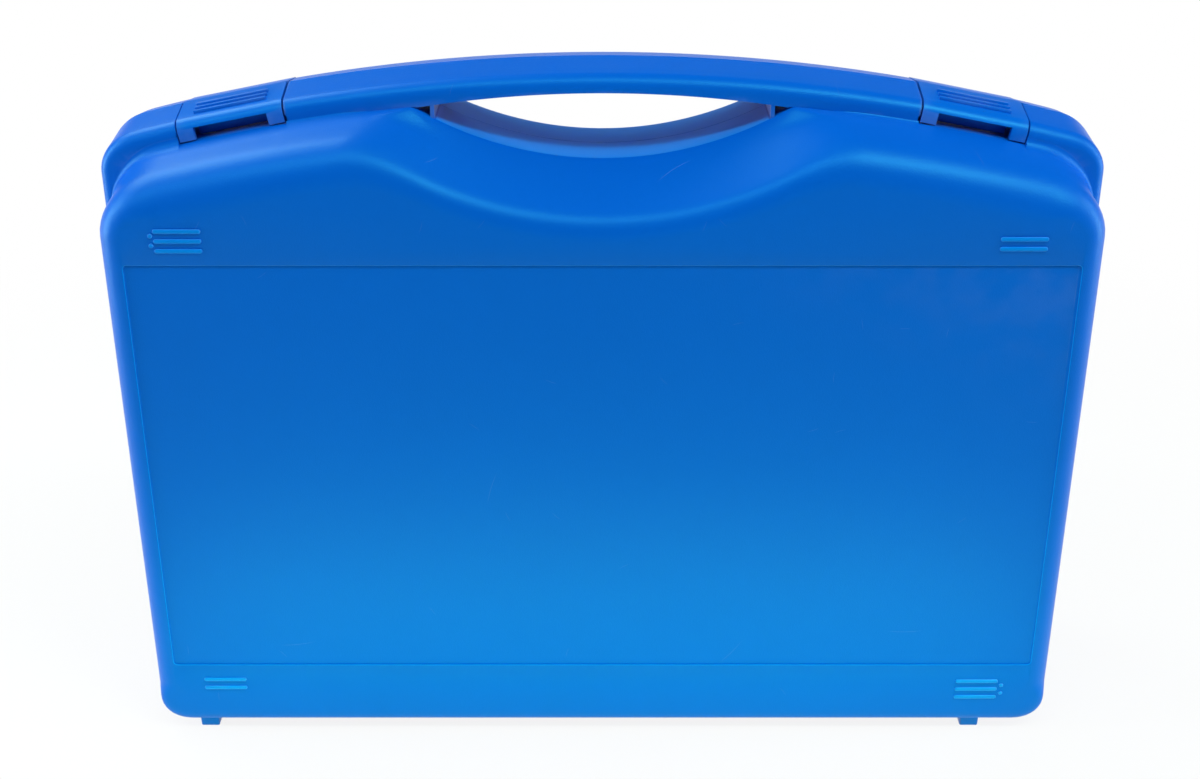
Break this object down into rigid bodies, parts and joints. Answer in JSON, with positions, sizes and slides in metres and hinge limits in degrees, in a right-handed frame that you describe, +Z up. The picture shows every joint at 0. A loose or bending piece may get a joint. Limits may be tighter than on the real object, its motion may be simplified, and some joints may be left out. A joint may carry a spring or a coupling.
{
  "type": "socket wrench set in case",
  "caption": "Blue moulded carrying case with an arched handle, flip latches and a bottom hinge, holding a ratchet, bars and sockets in a tray.",
  "frame": {"origin": "middle of the case at the bottom of its feet", "axes": "+Z up, +X to the right seen from the front, the front lid towards -Y"},
  "size_m": [0.412, 0.1, 0.2969],
  "materials": {
    "case_plastic": "blue polypropylene with a fine moulded grain, satin",
    "latch_plastic": "the same blue plastic, a little smoother",
    "chrome_steel": "satin chrome plate on forged steel",
    "bright_steel": "bright steel",
    "black_steel": "black oxide",
    "tray_plastic": "moulded black plastic with a light grain",
    "pad_foam": "dark grey open foam",
    "grip_rubber": "black rubber"
  },
  "bodies": {
    "base": {"rear_shell": "case_plastic", "left_hinge_pin": "bright_steel", "right_hinge_pin": "bright_steel", "left_latch_pin": "bright_steel", "right_latch_pin": "bright_steel", "tool_tray": "tray_plastic", "tray_edge": "tray_plastic", "tray_posts": "tray_plastic", "tray_cradles": "tray_plastic", "ratchet_body": "chrome_steel", "ratchet_cover_plate": "chrome_steel", "ratchet_cover_screws": "bright_steel", "ratchet_grip": "grip_rubber", "long_extension": "chrome_steel", "long_extension_ball": "bright_steel", "short_extension": "chrome_steel", "short_extension_ball": "bright_steel", "tee_bar": "chrome_steel", "tee_bar_rings": "bright_steel", "spark_plug_socket": "chrome_steel", "spark_plug_insert": "grip_rubber", "socket_24mm": "chrome_steel", "socket_22mm": "chrome_steel", "socket_21mm": "chrome_steel", "socket_19mm": "chrome_steel", "socket_18mm": "chrome_steel", "socket_17mm": "chrome_steel", "socket_16mm": "chrome_steel", "socket_15mm": "chrome_steel", "socket_14mm": "chrome_steel", "socket_13mm": "chrome_steel", "socket_12mm": "chrome_steel", "socket_10mm": "chrome_steel"},
    "lid": {"front_shell": "case_plastic", "lid_pad": "pad_foam"},
    "left_latch": {"left_latch": "latch_plastic"},
    "right_latch": {"right_latch": "latch_plastic"},
    "drive": {"ratchet_gear": "bright_steel", "drive_ball": "bright_steel"},
    "reverser": {"reverse_lever": "black_steel", "ratchet_pawl": "bright_steel"},
    "button": {"release_button": "bright_steel"},
    "tee_slider": {"tee_head": "chrome_steel"}
  },
  "joints": [
    {"name": "lid_hinge", "type": "hinge", "parent": "base", "child": "lid", "pos_m": [0, 0, 0.0045], "axis": [1, 0, 0], "range_deg": [0, 180]},
    {"name": "left_latch_flip", "type": "hinge", "parent": "base", "child": "left_latch", "pos_m": [-0.14899, 0.0182, 0.27593], "axis": [-0.9803, 0, -0.1977], "range_deg": [0, 95]},
    {"name": "right_latch_flip", "type": "hinge", "parent": "base", "child": "right_latch", "pos_m": [0.14899, 0.0182, 0.27593], "axis": [-0.9803, 0, 0.1977], "range_deg": [0, 95]},
    {"name": "drive_spin", "type": "hinge", "parent": "base", "child": "drive", "pos_m": [-0.158, 0.0194, 0.207], "axis": [0, 1, 0], "continuous": true},
    {"name": "reverse_lever_turn", "type": "hinge", "parent": "base", "child": "reverser", "pos_m": [-0.1404, 0.0194, 0.207], "axis": [0, 1, 0], "range_deg": [-30, 30]},
    {"name": "release_button_press", "type": "slide", "parent": "base", "child": "button", "axis": [0, 1, 0], "range_m": [0, 0.0015], "stiffness_N_per_m": 400},
    {"name": "tee_head_slide", "type": "slide", "parent": "base", "child": "tee_slider", "axis": [1, 0, 0], "range_m": [-0.103, 0.103]}
  ]
}
